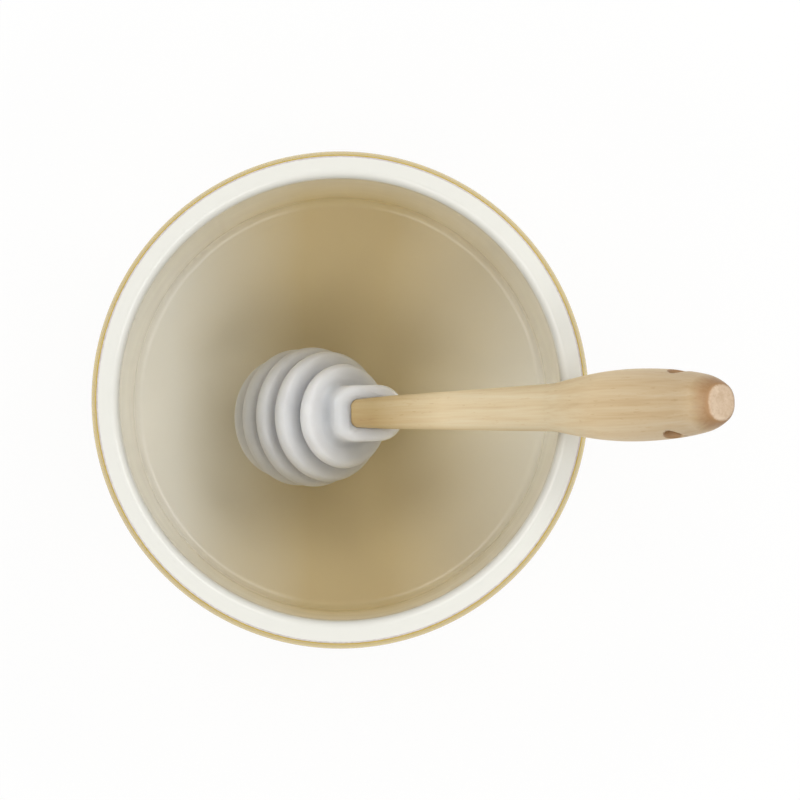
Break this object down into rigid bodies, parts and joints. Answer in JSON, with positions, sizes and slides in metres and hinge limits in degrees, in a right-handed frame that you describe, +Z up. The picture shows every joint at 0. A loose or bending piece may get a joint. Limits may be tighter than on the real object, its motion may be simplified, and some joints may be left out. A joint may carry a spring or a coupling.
{
  "type": "honey pot",
  "caption": "Round glazed stoneware honey pot with hive bands outside, and a ribbed silicone honey dipper with a wooden handle leaning in it.",
  "frame": {"origin": "centre of the pot's flat base, on the surface it stands on", "axes": "+Z up along the pot's axis, +X towards the rim that the dipper's handle leans on"},
  "size_m": [0.134, 0.1064, 0.1393],
  "materials": {
    "pot_glaze": "gloss",
    "head_silicone": "matte",
    "core_nylon": "satin",
    "handle_wood": "satin"
  },
  "bodies": {
    "pot": {"pot": "pot_glaze"},
    "dipper head": {"dipper_head": "head_silicone", "head_core": "core_nylon"},
    "dipper handle": {"dipper_handle": "handle_wood"}
  },
  "joints": [
    {"name": "dipper_lift", "type": "slide", "parent": "pot", "child": "dipper head", "axis": [0, 0, 1], "range_m": [0, 0.1]},
    {"name": "handle_pull", "type": "slide", "parent": "dipper head", "child": "dipper handle", "axis": [0.6087, 0.0096, 0.7934], "range_m": [0, 0.03]}
  ]
}
